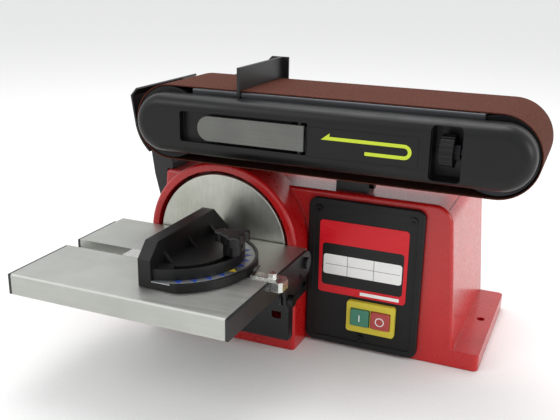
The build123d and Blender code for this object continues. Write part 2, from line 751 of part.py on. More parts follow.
lever_left_x = drum_x + 49.5
lever_length = 112.5
lever_height = 24.5
lever_thickness = 4.0
lever_z = cover_mid_z + 0.7
lever_pin_x = lever_left_x + lever_length - 5.0
lever_pin_y = cover_front_y + lever_thickness
lever_pin_radius = 2.5
recess_left_x = lever_left_x - 20.0
recess_right_x = lever_left_x + lever_length + 3.5
recess_height = lever_height + 6.0
recess_depth = 8.0
hinge_depth = 13.0
hinge_left_x = recess_right_x - 18.0
knob_pocket_left_x = knob_x - 14.5
knob_pocket_width = 28.0
knob_pocket_height = cover_height - 9.0

with BuildPart() as side_cover:
    cover_mid = ((cover_left_x + cover_right_x) / 2, cover_mid_z)
    cover_length = cover_right_x - cover_left_x
    with BuildSketch(front_plane(cover_back_y)):
        with Locations(cover_mid):
            SlotOverall(cover_length, cover_height)
    extrude(amount=cover_depth)
    fillet(side_cover.faces().sort_by(Axis.Y)[0].edges(), cover_edge_radius)
    with BuildSketch(front_plane(cover_back_y)):
        with Locations(cover_mid):
            SlotOverall(cover_length - 2 * cover_wall, cover_height - 2 * cover_wall)
    extrude(amount=cover_depth - cover_wall, taper=8.0, mode=Mode.SUBTRACT)
    with BuildSketch(front_plane(cover_front_y + hinge_depth + cover_wall)):
        with Locations(((recess_left_x + recess_right_x) / 2, lever_z)):
            Rectangle(recess_right_x - recess_left_x + 2 * cover_wall, recess_height + 2 * cover_wall)
    extrude(amount=hinge_depth + cover_wall - 1.0)
    with BuildSketch(front_plane(cover_back_y)):
        with Locations((knob_pocket_left_x + knob_pocket_width / 2, cover_mid_z)):
            Rectangle(knob_pocket_width + 2 * cover_wall, cover_height - 3.0)
    extrude(amount=cover_depth - 9.0)
    with BuildSketch(front_plane(cover_front_y + recess_depth)):
        with Locations(((recess_left_x + recess_right_x) / 2, lever_z)):
            RectangleRounded(recess_right_x - recess_left_x, recess_height, 3.0)
    extrude(amount=recess_depth, mode=Mode.SUBTRACT)
    with BuildSketch(front_plane(cover_front_y + hinge_depth)):
        with Locations(((hinge_left_x + recess_right_x) / 2, lever_z)):
            Rectangle(recess_right_x - hinge_left_x, recess_height)
    extrude(amount=hinge_depth, mode=Mode.SUBTRACT)
    with BuildSketch(front_plane(cover_back_y)):
        with Locations((knob_pocket_left_x + knob_pocket_width / 2, cover_mid_z)):
            RectangleRounded(knob_pocket_width, knob_pocket_height, 4.0)
    extrude(amount=cover_depth, mode=Mode.SUBTRACT)
    with BuildSketch(side_plane(knob_pocket_left_x + knob_pocket_width - 1.0)):
        with Locations((knob_y, knob_z)):
            Circle(5.0)
    extrude(amount=cover_wall + 2.0, mode=Mode.SUBTRACT)
    with BuildSketch(Plane.XY.offset(lever_z - recess_height / 2 - 2.0)):
        with Locations((lever_pin_x, lever_pin_y)):
            Circle(lever_pin_radius + fit)
    extrude(amount=recess_height + 4.0, mode=Mode.SUBTRACT)
    with BuildSketch(side_plane(stop_x - 7.0)):
        with Locations((cover_back_y, cover_top_z)):
            Rectangle(6.0, 12.0)
    extrude(amount=14.0, mode=Mode.SUBTRACT)
side_cover.part.label = "side_cover"
export_step(side_cover.part, "parts/side_cover.step")

with BuildPart() as drum_bearings:
    for y in (web_front_y, tube_rear_y):
        ring(
            front_plane(y),
            drum_axis,
            drum_bearing_diameter / 2,
            drum_shaft_diameter / 2 + fit,
            drum_bearing_width,
        )
drum_bearings.part.label = "drum_bearings"
export_step(drum_bearings.part, "parts/drum_bearings.step")

with BuildPart() as end_guard:
    guard_radius = belt_outer_radius + 9.6
    guard_front_y = belt_front_y + 10.5
    guard_rear_y = body_front_y + 90.0
    with BuildSketch(front_plane(guard_rear_y)):
        with BuildLine() as guard_path:
            guard_arc = CenterArc(drum_axis, guard_radius, 190.0, 39.0)
            Polyline(guard_arc @ 0, (drum_x - 53.0, drum_z + 22.0), (drum_x - 46.0, drum_z + 30.0))
        trace(guard_path.line, line_width=sheet)
    extrude(amount=guard_rear_y - guard_front_y)
    with BuildSketch(front_plane(web_rear_y + sheet)):
        with BuildLine():
            closure_arc = CenterArc(drum_axis, guard_radius, 190.0, 39.0)
            Polyline(
                closure_arc @ 0,
                (drum_x - 53.0, drum_z + 22.0),
                (drum_x - 46.0, drum_z + 30.0),
                (drum_x - 10.0, drum_z + 30.0),
                (drum_x, drum_z - 28.0),
                closure_arc @ 1,
            )
        make_face()
        with Locations(drum_axis):
            Circle(pivot_tube_diameter / 2 + gap, mode=Mode.SUBTRACT)
    extrude(amount=sheet)
end_guard.part.label = "end_guard"
export_step(end_guard.part, "parts/end_guard.step")

with BuildPart() as work_stop:
    stop_bottom_z = belt_top_z + 1.0
    stop_front_y = web_front_y - sheet - 2.0
    stop_plate = 3.0
    with BuildSketch(side_plane(stop_x - stop_plate / 2)):
        with BuildLine():
            Polyline(
                (web_rear_y + sheet, stop_top_z),
                (stop_front_y, stop_top_z),
                (stop_front_y, cover_top_z - 1.0),
                (cover_back_y - gap, cover_top_z - 1.0),
                (cover_back_y - gap, stop_bottom_z),
                (web_rear_y, stop_bottom_z),
                (web_rear_y, frame_top_z - 28.0),
                (web_rear_y + sheet, frame_top_z - 28.0),
                close=True,
            )
        make_face()
    extrude(amount=stop_plate)
    with BuildSketch(front_plane(web_rear_y + sheet)):
        with BuildLine():
            Polyline(
                (stop_x - 18.0, frame_top_z - 28.0),
                (stop_x + 8.0, frame_top_z - 28.0),
                (stop_x + 8.0, stop_top_z),
                (stop_x - 12.0, stop_top_z),
                (stop_x - 18.0, stop_top_z - 6.0),
                close=True,
            )
        make_face()
        with Locations(stop_screw_places):
            Circle(2.5, mode=Mode.SUBTRACT)
    extrude(amount=sheet)
work_stop.part.label = "work_stop"
export_step(work_stop.part, "parts/work_stop.step")

with BuildPart() as work_stop_screws:
    with BuildSketch(front_plane(web_rear_y + sheet + 3.0)):
        with Locations(stop_screw_places):
            Circle(4.5)
    extrude(amount=3.0)
    with BuildSketch(front_plane(web_rear_y + sheet)):
        with Locations(stop_screw_places):
            Circle(2.5 - fit)
    extrude(amount=2 * sheet)
work_stop_screws.part.label = "work_stop_screws"
export_step(work_stop_screws.part, "parts/work_stop_screws.step")

with BuildPart() as drive_roller:
    ring(
        front_plane(belt_rear_y - 0.7),
        drum_axis,
        drum_radius,
        drum_shaft_diameter / 2 - 1.0,
        belt_width - 1.4,
    )
    fillet(drive_roller.faces().sort_by(Axis.Y)[0].outer_wire().edges(), 1.5)
    shaft_front_y = web_front_y - drum_bearing_width
    shaft_rear_y = pulley_rear_y + 1.0
    ring(front_plane(shaft_rear_y), drum_axis, drum_shaft_diameter / 2, 0, shaft_rear_y - shaft_front_y)
drive_roller.part.label = "drive_roller"
export_step(drive_roller.part, "parts/drive_roller.step")

with BuildPart() as drum_pulley:
    drum_bore_radius = drum_shaft_diameter / 2 + fit
    ring(front_plane(pulley_rear_y), drum_axis, drum_pulley_diameter / 2, drum_bore_radius, pulley_width)
    ring(front_plane(pulley_rear_y), drum_axis, drum_pulley_diameter / 2 + 4.0, drum_bore_radius, 0.8)
drum_pulley.part.label = "drum_pulley"
export_step(drum_pulley.part, "parts/drum_pulley.step")

# ---------------------------------------------------------------- belt unit: tension and tracking

roller_length = belt_width - 8.0
arm_front_y = belt_front_y + 0.3
arm_rear_y = belt_rear_y - 0.3
yoke_back_x = idler_x - drum_radius - 11.0
yoke_thickness = 8.0
stem_left_x = beam_left_x + 140.0

with BuildPart() as idler_yoke:
    with BuildSketch(side_plane(stem_left_x)):
        with Locations((belt_mid_y, drum_z)):
            Rectangle(20.0, 13.0)
    extrude(amount=yoke_back_x - stem_left_x + 1.0)
    with BuildSketch(side_plane(yoke_back_x)):
        with Locations((belt_mid_y, drum_z)):
            Rectangle(arm_rear_y - arm_front_y, 20.0)
    extrude(amount=yoke_thickness)
    for y in (arm_front_y + plate, arm_rear_y):
        with BuildSketch(front_plane(y)):
            with Locations(((yoke_back_x + idler_x + 4.0) / 2, drum_z)):
                Rectangle(idler_x + 4.0 - yoke_back_x, 20.0)
            with Locations(idler_axis):
                Circle(10.0)
                Circle(axle_radius + fit, mode=Mode.SUBTRACT)
        extrude(amount=plate)
idler_yoke.part.label = "idler_yoke"
export_step(idler_yoke.part, "parts/idler_yoke.step")

with BuildPart() as idler_axle:
    axle_front_y = cover_front_y + cover_wall + 4.0
    ring(front_plane(arm_rear_y + 0.1), idler_axis, axle_radius, 0, arm_rear_y + 0.1 - axle_front_y)
idler_axle.part.label = "idler_axle"
export_step(idler_axle.part, "parts/idler_axle.step")

with BuildPart() as idler_roller:
    ring(
        front_plane(belt_mid_y + roller_length / 2),
        idler_axis,
        drum_radius,
        drum_bearing_diameter / 2 + fit,
        roller_length,
    )
    fillet(idler_roller.faces().sort_by(Axis.Y)[0].outer_wire().edges(), 1.5)
idler_roller.part.label = "idler_roller"
export_step(idler_roller.part, "parts/idler_roller.step")

with BuildPart() as idler_bearings:
    for y in (belt_mid_y + roller_length / 2, belt_mid_y - roller_length / 2 + drum_bearing_width):
        ring(
            front_plane(y),
            idler_axis,
            drum_bearing_diameter / 2,
            axle_radius + fit,
            drum_bearing_width,
        )
idler_bearings.part.label = "idler_bearings"
export_step(idler_bearings.part, "parts/idler_bearings.step")

with BuildPart() as tension_spring:
    spring_coils = 5
    spring_wire = 2.4
    spring_pitch = 3.0
    for coil in range(spring_coils):
        coil_x = beam_right_x + spring_wire / 2 + coil * spring_pitch
        with BuildSketch(Plane(origin=(0, belt_mid_y, drum_z), x_dir=(1, 0, 0), z_dir=(0, 0, 1))) as coil_section:
            with Locations((coil_x, 15.5)):
                Circle(spring_wire / 2)
        revolve(coil_section.sketch, axis=Axis((0, belt_mid_y, drum_z), (1, 0, 0)))
tension_spring.part.label = "tension_spring"
export_step(tension_spring.part, "parts/tension_spring.step")

with BuildPart() as tension_lever:
    lever_bottom_z = lever_z - lever_height / 2
    with BuildSketch(front_plane(cover_front_y + lever_thickness)):
        with Locations((lever_left_x + lever_height / 2, lever_z)):
            Circle(lever_height / 2)
        with Locations((lever_left_x + (lever_height / 2 + lever_length) / 2, lever_z)):
            Rectangle(lever_length - lever_height / 2, lever_height)
    extrude(amount=lever_thickness)
    with BuildSketch(Plane.XY.offset(lever_bottom_z)):
        with Locations((lever_pin_x, lever_pin_y)):
            Circle(4.5)
    extrude(amount=lever_height)
    with BuildSketch(Plane.XY.offset(lever_bottom_z)):
        with Locations((lever_pin_x, lever_pin_y)):
            Circle(lever_pin_radius + fit)
    extrude(amount=lever_height, mode=Mode.SUBTRACT)
tension_lever.part.label = "tension_lever"
export_step(tension_lever.part, "parts/tension_lever.step")

with BuildPart() as tension_lever_pin:
    with BuildSketch(Plane.XY.offset(lever_z - recess_height / 2 - 2.0)):
        with Locations((lever_pin_x, lever_pin_y)):
            Circle(lever_pin_radius)
    extrude(amount=recess_height + 4.0)
tension_lever_pin.part.label = "tension_lever_pin"
export_step(tension_lever_pin.part, "parts/tension_lever_pin.step")

with BuildPart() as tracking_knob:
    knob_axis = (knob_y, knob_z)
    ring(side_plane(knob_x - knob_length / 2), knob_axis, knob_radius, 4.0 + fit, knob_length)
    with BuildSketch(side_plane(knob_x - knob_length / 2)):
        with Locations(knob_axis):
            with PolarLocations(knob_radius + 0.6, 18):
                Circle(1.5)
    extrude(amount=knob_length, mode=Mode.SUBTRACT)
tracking_knob.part.label = "tracking_knob"
export_step(tracking_knob.part, "parts/tracking_knob.step")

with BuildPart() as tracking_screw:
    screw_tip_x = idler_x - axle_radius - tension_travel - gap
    screw_left_x = knob_x - knob_length / 2
    ring(side_plane(screw_left_x), knob_axis, 4.0 - fit, 0, screw_tip_x - screw_left_x)
    with BuildSketch(side_plane(knob_x + knob_length / 2)):
        with Locations(knob_axis):
            RegularPolygon(7.5, 6)
    extrude(amount=5.0)
tracking_screw.part.label = "tracking_screw"
export_step(tracking_screw.part, "parts/tracking_screw.step")

# ---------------------------------------------------------------- table

slot_wall = 4.0

with BuildPart() as work_table:
    with BuildSketch(side_plane(table_left_x)) as table_profile:
        with BuildLine():
            Polyline(
                (table_front_y, table_top_z),
                (slot_y - slot_width / 2, table_top_z),
                (slot_y - slot_width / 2, table_top_z - slot_depth),
                (slot_y + slot_width / 2, table_top_z - slot_depth),
                (slot_y + slot_width / 2, table_top_z),
                (table_rear_y, table_top_z),
                (table_rear_y, table_top_z - table_plate),
                (slot_y + slot_width / 2 + slot_wall, table_top_z - table_plate),
                (slot_y + slot_width / 2 + slot_wall, table_top_z - slot_depth - slot_wall),
                (slot_y - slot_width / 2 - slot_wall, table_top_z - slot_depth - slot_wall),
                (slot_y - slot_width / 2 - slot_wall, table_top_z - table_plate),
                (table_front_y + 5.0, table_top_z - table_plate),
                (table_front_y + 5.0, table_top_z - table_skirt),
                (table_front_y, table_top_z - table_skirt),
                close=True,
            )
        make_face()
        chamfer(table_profile.vertices().sort_by(Axis.X).group_by(Axis.X)[0].sort_by(Axis.Y)[-1], 1.5)
    extrude(amount=table_width)
work_table.part.label = "work_table"
export_step(work_table.part, "parts/work_table.step")

end_plate_bottom_z = table_top_z - table_skirt
end_plate_top_z = table_top_z - 0.5

with BuildPart() as table_end_plates:
    with BuildSketch(side_plane(table_left_x - plate)):
        with Locations(((table_front_y + table_rear_y) / 2 - 6.0, (end_plate_bottom_z + end_plate_top_z) / 2)):
            Rectangle(table_depth - 12.0, end_plate_top_z - end_plate_bottom_z)
        with Locations((slot_y, table_top_z)):
            Rectangle(slot_width, 2 * slot_depth, mode=Mode.SUBTRACT)
    extrude(amount=plate)
    lobe_radius = 14.0
    with BuildSketch(side_plane(table_right_x)):
        with Locations(((table_front_y + tilt_y) / 2, (end_plate_bottom_z + end_plate_top_z) / 2)):
            Rectangle(tilt_y - table_front_y, end_plate_top_z - end_plate_bottom_z)
        with Locations((tilt_y + 3.0, end_plate_top_z - lobe_radius)):
            Circle(lobe_radius)
        with Locations((slot_y, table_top_z)):
            Rectangle(slot_width, 2 * slot_depth, mode=Mode.SUBTRACT)
        with Locations(tilt_axis):
            Circle(4.0, mode=Mode.SUBTRACT)
    extrude(amount=plate)
table_end_plates.part.label = "table_end_plates"
export_step(table_end_plates.part, "parts/table_end_plates.step")

lock_place = polar(tilt_axis, lock_radius, lock_angle)
slot_sweep = tilt_range + 2.0
lock_slot_width = 7.0

with BuildPart() as table_trunnions:
    for x in (disc_x - trunnion_x - plate, disc_x + trunnion_x):
        with BuildSketch(side_plane(x)):
            with Locations(tilt_axis):
                Circle(10.0)
            with Locations(lock_place):
                Circle(8.0)
            with Locations((tilt_y - 34.0, table_top_z - table_plate - 2.0)):
                Rectangle(16.0, 4.0)
            make_hull()
            with Locations((tilt_y, table_top_z - table_plate + 10.0)):
                Rectangle(120.0, 20.0, mode=Mode.SUBTRACT)
            with Locations(lock_place, tilt_axis):
                Circle(4.0, mode=Mode.SUBTRACT)
        extrude(amount=plate)
table_trunnions.part.label = "table_trunnions"
export_step(table_trunnions.part, "parts/table_trunnions.step")

bracket_screw_places = [(disc_face_y + 15.0, disc_z - 17.0), (disc_face_y + 15.0, disc_z - 42.0)]

with BuildPart() as table_brackets:
    for x in (disc_x - bracket_x - plate, disc_x + bracket_x):
        with BuildSketch(side_plane(x)):
            with Locations(tilt_axis):
                Circle(5.0 - fit)
            with Locations(lock_place, polar(tilt_axis, lock_radius, lock_angle + slot_sweep)):
                Circle(6.8)
            with Locations((disc_face_y + 15.0, disc_z - 30.0)):
                Rectangle(20.0, 40.0)
            make_hull()
            with Locations(tilt_axis):
                Circle(3.0 + fit, mode=Mode.SUBTRACT)
            with Locations(bracket_screw_places):
                Circle(3.0, mode=Mode.SUBTRACT)
        extrude(amount=plate)
        with BuildSketch(side_plane(x)):
            with BuildLine() as lock_path:
                CenterArc(tilt_axis, lock_radius, lock_angle, slot_sweep)
            trace(lock_path.line, line_width=lock_slot_width)
            with Locations(lock_place, polar(tilt_axis, lock_radius, lock_angle + slot_sweep)):
                Circle(lock_slot_width / 2)
        extrude(amount=plate, mode=Mode.SUBTRACT)
table_brackets.part.label = "table_brackets"
export_step(table_brackets.part, "parts/table_brackets.step")

with BuildPart() as bracket_screws:
    for side, first_x in ((1, disc_x + bracket_x + plate), (-1, disc_x - bracket_x - plate - 4.0)):
        with BuildSketch(side_plane(first_x)):
            with Locations(bracket_screw_places):
                Circle(5.0)
        extrude(amount=4.0)
        with BuildSketch(side_plane(first_x - plate if side == 1 else first_x + 4.0)):
            with Locations(bracket_screw_places):
                Circle(3.0 - fit)
        extrude(amount=plate)
bracket_screws.part.label = "bracket_screws"
export_step(bracket_screws.part, "parts/bracket_screws.step")

with BuildPart() as table_bolts:
    right_end_x = table_right_x + plate
    inner_x = disc_x + bracket_x + gap
    ring(side_plane(inner_x), tilt_axis, 3.0, 0, right_end_x - inner_x)
    ring(side_plane(disc_x + trunnion_x), tilt_axis, 4.0 - fit, 0, right_end_x - disc_x - trunnion_x)
    ring(side_plane(right_end_x), tilt_axis, 6.0, 0, 4.0)
    left_inner_x = disc_x - bracket_x - gap
    left_outer_x = disc_x - trunnion_x - plate
    ring(side_plane(left_outer_x), tilt_axis, 3.0, 0, left_inner_x - left_outer_x)
    ring(side_plane(left_outer_x), tilt_axis, 4.0 - fit, 0, plate)
    ring(side_plane(left_outer_x - 4.0), tilt_axis, 6.0, 0, 4.0)
    ring(side_plane(disc_x + bracket_x + gap), lock_place, 3.0, 0, 2 * plate - gap)
    ring(side_plane(disc_x + trunnion_x), lock_place, 4.0 - fit, 0, plate)
    ring(side_plane(disc_x + trunnion_x + plate), lock_place, 6.0, 0, 6.0)
    ring(side_plane(disc_x - trunnion_x), lock_place, 3.0, 0, 2 * plate - gap)
    ring(side_plane(disc_x - trunnion_x - plate), lock_place, 4.0 - fit, 0, plate)
    ring(side_plane(disc_x - trunnion_x - plate - 6.0), lock_place, 6.0, 0, 6.0)
table_bolts.part.label = "table_bolts"
export_step(table_bolts.part, "parts/table_bolts.step")

# ---------------------------------------------------------------- mitre gauge

bar_left_x = mitre_x - 60.0
bar_right_x = table_right_x + 14.0
bar_width = slot_width - 0.5
bar_bottom_z = table_top_z - slot_depth + 0.2
bar_top_z = table_top_z + 0.3
head_bottom_z = bar_top_z + 0.2
head_thickness = 6.0
head_top_z = head_bottom_z + head_thickness
drum_top_z = head_top_z + mitre_drum_rise
head_half_depth = 68.5
fence_front_x = mitre_x - 2.0
fence_thickness = 13.0
fence_back_x = fence_front_x + fence_thickness
fence_top_z = table_top_z + 40.5
fence_front_y = slot_y - head_half_depth
fence_rear_y = slot_y + 85.0
fence_chamfer = 14.0
fence_slope = 32.0
mitre_axis = (mitre_x, slot_y)
knob_place = (mitre_x + mitre_knob_radius, slot_y)


def gauge_outline(outer, inner, left_x):
    """Round outline about the gauge's pivot, kept right of left_x and between the head's two ends."""
    with Locations(mitre_axis):
        Circle(outer)
        if inner > 0:
            Circle(inner, mode=Mode.SUBTRACT)
    with Locations((left_x + mitre_radius, slot_y)):
        Rectangle(2 * mitre_radius, 2 * head_half_depth, mode=Mode.INTERSECT)


with BuildPart() as mitre_bar:
    with Locations(((bar_left_x + bar_right_x) / 2, slot_y, bar_bottom_z)):
        Box(
            bar_right_x - bar_left_x,
            bar_width,
            bar_top_z - bar_bottom_z,
            align=(Align.CENTER, Align.CENTER, Align.MIN),
        )
    chamfer(mitre_bar.faces().sort_by(Axis.X)[-1].edges().filter_by(Axis.Z), 3.0)
    with BuildSketch(Plane.XY.offset(bar_top_z)):
        with Locations(mitre_axis):
            Circle(5.0)
    extrude(amount=head_top_z - bar_top_z + 0.5)
mitre_bar.part.label = "mitre_bar"
export_step(mitre_bar.part, "parts/mitre_bar.step")

with BuildPart() as mitre_pointer:
    pointer_left_x = mitre_x + mitre_radius + 2.0
    with BuildSketch(Plane.XY.offset(bar_top_z)):
        with Locations((pointer_left_x + 13.0, slot_y)):
            Rectangle(26.0, 12.0)
    extrude(amount=1.5)
    with BuildSketch(Plane.XY.offset(bar_top_z + 1.5)):
        with Locations((pointer_left_x + 20.0, slot_y)):
            RegularPolygon(4.5, 6)
    extrude(amount=4.0)
mitre_pointer.part.label = "mitre_pointer"
export_step(mitre_pointer.part, "parts/mitre_pointer.step")

with BuildPart() as mitre_head:
    with BuildSketch(Plane.XY.offset(head_bottom_z)):
        gauge_outline(mitre_radius, 0, fence_front_x)
    extrude(amount=head_thickness)
    with BuildSketch(Plane.XY.offset(head_top_z)):
        gauge_outline(mitre_radius, mitre_radius - 3.0, fence_front_x)
    extrude(amount=2.0)
    with BuildSketch(Plane.XY.offset(head_top_z)):
        gauge_outline(mitre_drum_radius, 0, fence_front_x)
    extrude(amount=mitre_drum_rise)
    with BuildSketch(side_plane(fence_front_x)):
        with BuildLine():
            Polyline(
                (fence_front_y, head_bottom_z),
                (fence_front_y, fence_top_z - fence_chamfer),
                (fence_front_y + fence_chamfer, fence_top_z),
                (fence_rear_y - fence_slope, fence_top_z),
                (fence_rear_y, drum_top_z - 5.0),
                (fence_rear_y, head_bottom_z),
                close=True,
            )
        make_face()
    extrude(amount=fence_thickness)
    with BuildSketch(Plane(origin=(0, slot_y, 0), x_dir=(1, 0, 0), z_dir=(0, -1, 0))) as rib_section:
        with BuildLine():
            Polyline(
                (fence_back_x, drum_top_z + 10.0),
                (fence_back_x, drum_top_z),
                (fence_back_x + 9.0, drum_top_z),
                close=True,
            )
        make_face()
    for rib_y in (-44.0, 0.0, 44.0):
        extrude(rib_section.sketch.moved(Location((0, rib_y, 0))), amount=2.0, both=True)
    with BuildSketch(Plane.XY.offset(head_bottom_z)):
        with Locations(mitre_axis):
            Circle(5.0 + fit)
    extrude(amount=head_thickness + 1.0, mode=Mode.SUBTRACT)
    with BuildSketch(Plane.XY.offset(head_bottom_z)):
        with BuildLine() as knob_path:
            CenterArc(mitre_axis, mitre_knob_radius, -mitre_swing - 4.0, 2 * mitre_swing + 8.0)
        trace(knob_path.line, line_width=8.0)
    extrude(amount=fence_top_z - head_bottom_z, mode=Mode.SUBTRACT)
mitre_head.part.label = "mitre_head"
export_step(mitre_head.part, "parts/mitre_head.step")

with BuildPart() as mitre_scale:
    with BuildSketch(Plane.XY.offset(head_top_z)):
        gauge_outline(mitre_radius - 3.0 - fit, mitre_drum_radius + fit, fence_back_x + gap)
    extrude(amount=0.8)
mitre_scale.part.label = "mitre_scale"
export_step(mitre_scale.part, "parts/mitre_scale.step")

with BuildPart() as mitre_knob:
    knob_bottom_z = drum_top_z + gap
    knob_lobe_z = knob_bottom_z + 12.0
    with BuildSketch(Plane.XY.offset(bar_top_z + 0.1)):
        with Locations(knob_place):
            Circle(3.0)
    extrude(amount=knob_bottom_z - bar_top_z - 0.1)
    with BuildSketch(Plane.XY.offset(knob_bottom_z)):
        with Locations(knob_place):
            Circle(8.5)
            with PolarLocations(7.0, 3, start_angle=60.0):
                Circle(3.0)
    extrude(amount=knob_lobe_z - knob_bottom_z)
    with BuildSketch(Plane.XY.offset(knob_lobe_z)):
        with Locations(knob_place):
            Circle(11.5)
            with PolarLocations(12.0, 3, start_angle=60.0):
                Circle(6.5)
    extrude(amount=9.5)
    fillet(mitre_knob.faces().sort_by(Axis.Z)[-1].edges(), 2.0)
mitre_knob.part.label = "mitre_knob"
export_step(mitre_knob.part, "parts/mitre_knob.step")
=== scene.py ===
# %% [markdown]
# # A belt and disc sander for the bench
# The machine is one red casting with a motor in it. A sanding disc faces the worker on the left, and a
# wide sanding belt runs over a bed on top. The solid model gives every piece its shape, size and place.
# This script gives each one its finish, adds the printed and moulded details, and sets up a small
# studio.

# %% Load the solid model
import math

import bpy
from mathutils import Matrix, Vector


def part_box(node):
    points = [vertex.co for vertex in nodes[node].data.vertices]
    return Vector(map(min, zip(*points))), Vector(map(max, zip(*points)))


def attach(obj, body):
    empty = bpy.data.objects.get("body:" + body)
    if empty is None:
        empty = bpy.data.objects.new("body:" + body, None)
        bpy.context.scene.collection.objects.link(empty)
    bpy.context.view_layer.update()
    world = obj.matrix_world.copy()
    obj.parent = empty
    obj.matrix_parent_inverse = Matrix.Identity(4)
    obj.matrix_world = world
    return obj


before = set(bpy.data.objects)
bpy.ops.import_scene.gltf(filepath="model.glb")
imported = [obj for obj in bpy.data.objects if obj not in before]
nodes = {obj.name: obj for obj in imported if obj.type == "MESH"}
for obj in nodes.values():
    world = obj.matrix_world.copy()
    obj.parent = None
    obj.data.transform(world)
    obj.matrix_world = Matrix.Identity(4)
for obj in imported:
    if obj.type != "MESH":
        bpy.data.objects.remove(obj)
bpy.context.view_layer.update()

MM = 0.001
print("pieces in the solid model:", len(nodes))

# %% [markdown]
# ## Colours and nodes
# Paint charts give colours as hex codes in sRGB, while Blender's shaders want linear light, so one
# function turns the first into the second. Another adds any node, sets it up and links it, so that a
# material can be read from top to bottom as a list of nodes.

# %% Colour and node helpers
def linear(hex_code):
    """The linear red, green, blue and alpha of an sRGB hex colour."""
    channels = [int(hex_code[i:i + 2], 16) / 255 for i in (1, 3, 5)]
    return [c / 12.92 if c <= 0.04045 else ((c + 0.055) / 1.055) ** 2.4 for c in channels] + [1.0]


def connect(node, inputs):
    """Sets a node's inputs: an output is linked, a hex colour is made linear, and a value is kept."""
    for key, value in inputs.items():
        if isinstance(value, bpy.types.NodeSocket):
            node.id_data.links.new(value, node.inputs[key])
        else:
            node.inputs[key].default_value = linear(value) if isinstance(value, str) else value


def add(tree, kind, inputs, out=0, **settings):
    """Adds one node with its settings and links, and gives back one of its outputs."""
    node = tree.nodes.new("ShaderNode" + kind)
    for name, value in settings.items():
        setattr(node, name, value)
    connect(node, inputs)
    return node.outputs[out]


def start_material(name):
    """A new material, its node tree, its shader and the place of a point on the machine in metres."""
    made = bpy.data.materials.new(name)
    made.use_nodes = True
    tree = made.node_tree
    place = add(tree, "TexCoord", {}, out="Object")
    return made, tree, tree.nodes["Principled BSDF"], place


def repeats(size_mm):
    """The scale of a pattern whose features are this many millimetres wide."""
    return 1 / (size_mm * MM)


# The Mix node has sockets for numbers, vectors and colours under the same names. These are the places
# of its two colours among its inputs, and of its colour among its outputs.
FIRST, SECOND, MIXED = 6, 7, 2

# %% [markdown]
# ## Soft edges
# No real edge is perfectly sharp: a fine radius catches the light as a thin bright line. The Bevel node
# rounds the shading over a chosen radius, so every hard piece gets that line without extra mesh.

# %% Grain and edge helper
def grained(tree, place, size_mm, depth_mm, edge_mm=0.6, detail=2.0, stretch=(1, 1, 1)):
    """A bumped normal: a noise of the given grain size and depth over a softened edge, and the noise."""
    scaled = add(tree, "Mapping", {"Vector": place, "Scale": stretch})
    noise = add(tree, "TexNoise", {"Vector": scaled, "Scale": repeats(size_mm), "Detail": detail})
    edge = add(tree, "Bevel", {"Radius": edge_mm * MM}, samples=4)
    bump = add(
        tree, "Bump", {"Strength": 1.0, "Distance": depth_mm * MM, "Height": noise, "Normal": edge}
    )
    return bump, noise


# %% [markdown]
# ## Enamel on cast iron
# The body is cast iron under thick red enamel. The sand mould leaves low waves a few millimetres wide,
# and the paint flows over them, so highlights break up. The gloss itself is smooth: low roughness, with
# a clear coat on top.

# %% Red enamel
red_enamel, tree, shader, place = start_material("red_enamel_on_cast_iron")
bump, noise = grained(tree, place, size_mm=5.0, depth_mm=0.12, edge_mm=1.8, detail=1.5)
drift = add(tree, "TexNoise", {"Vector": place, "Scale": repeats(55.556), "Detail": 1.0})
share = add(tree, "MapRange", {"Value": drift, "From Min": 0.3, "From Max": 0.7})
red = add(tree, "Mix", {"Factor": share, FIRST: "#AD0D10", SECOND: "#BB1416"}, MIXED, data_type="RGBA")
gloss = add(
    tree, "MapRange",
    {"Value": noise, "From Min": 0.3, "From Max": 0.7, "To Min": 0.26, "To Max": 0.34},
)
connect(shader, {
    "Base Color": red,
    "Roughness": gloss,
    "IOR": 1.5,
    "Coat Weight": 0.25,
    "Coat Roughness": 0.12,
    "Normal": bump,
})

# %% [markdown]
# ## Black enamel on steel sheet
# The belt bed, the guards and the brackets are bent steel in satin black powder enamel. Baked powder
# leaves a fine orange peel of about a millimetre.

# %% Black enamel
black_enamel, tree, shader, place = start_material("satin_black_powder_enamel")
bump, noise = grained(tree, place, size_mm=1.2, depth_mm=0.035, edge_mm=0.5)
black = add(tree, "Mix", {"Factor": noise, FIRST: "#0F0F10", SECOND: "#18181A"}, MIXED, data_type="RGBA")
gloss = add(
    tree, "MapRange",
    {"Value": noise, "From Min": 0.3, "From Max": 0.7, "To Min": 0.34, "To Max": 0.5},
)
connect(shader, {
    "Base Color": black,
    "Roughness": gloss,
    "IOR": 1.5,
    "Normal": bump,
})

# %% [markdown]
# ## Moulded plastics
# The long cover and the tracking knob are ABS from a polished steel mould, so they shine softly. The
# switch panel comes from a spark-eroded mould and is duller and grainier. The gauge is nylon filled with
# glass fibre, which leaves a skin between the two. A grain of 0.3 mm is too fine to show from here, so
# it is drawn two or three times as coarse.

# %% Plastic finishes
def moulded(name, dark, light, rough, grain_mm=0.7, depth_mm=0.02, edge_mm=0.7, gloss=0.3):
    """Moulded plastic with a fine grain and a slight change of gloss."""
    made, tree, shader, place = start_material(name)
    bump, noise = grained(tree, place, grain_mm, depth_mm, edge_mm)
    drift = add(tree, "TexNoise", {"Vector": place, "Scale": repeats(40.0), "Detail": 2.0})
    tone = add(tree, "Mix", {"Factor": noise, FIRST: dark, SECOND: light}, MIXED, data_type="RGBA")
    spread = {"From Min": 0.3, "From Max": 0.7, "To Min": rough - 0.05, "To Max": rough + 0.06}
    connect(shader, {
        "Base Color": tone,
        "Roughness": add(tree, "MapRange", {"Value": drift, **spread}),
        "IOR": 1.53,
        "Specular IOR Level": gloss,
        "Normal": bump,
    })
    return made


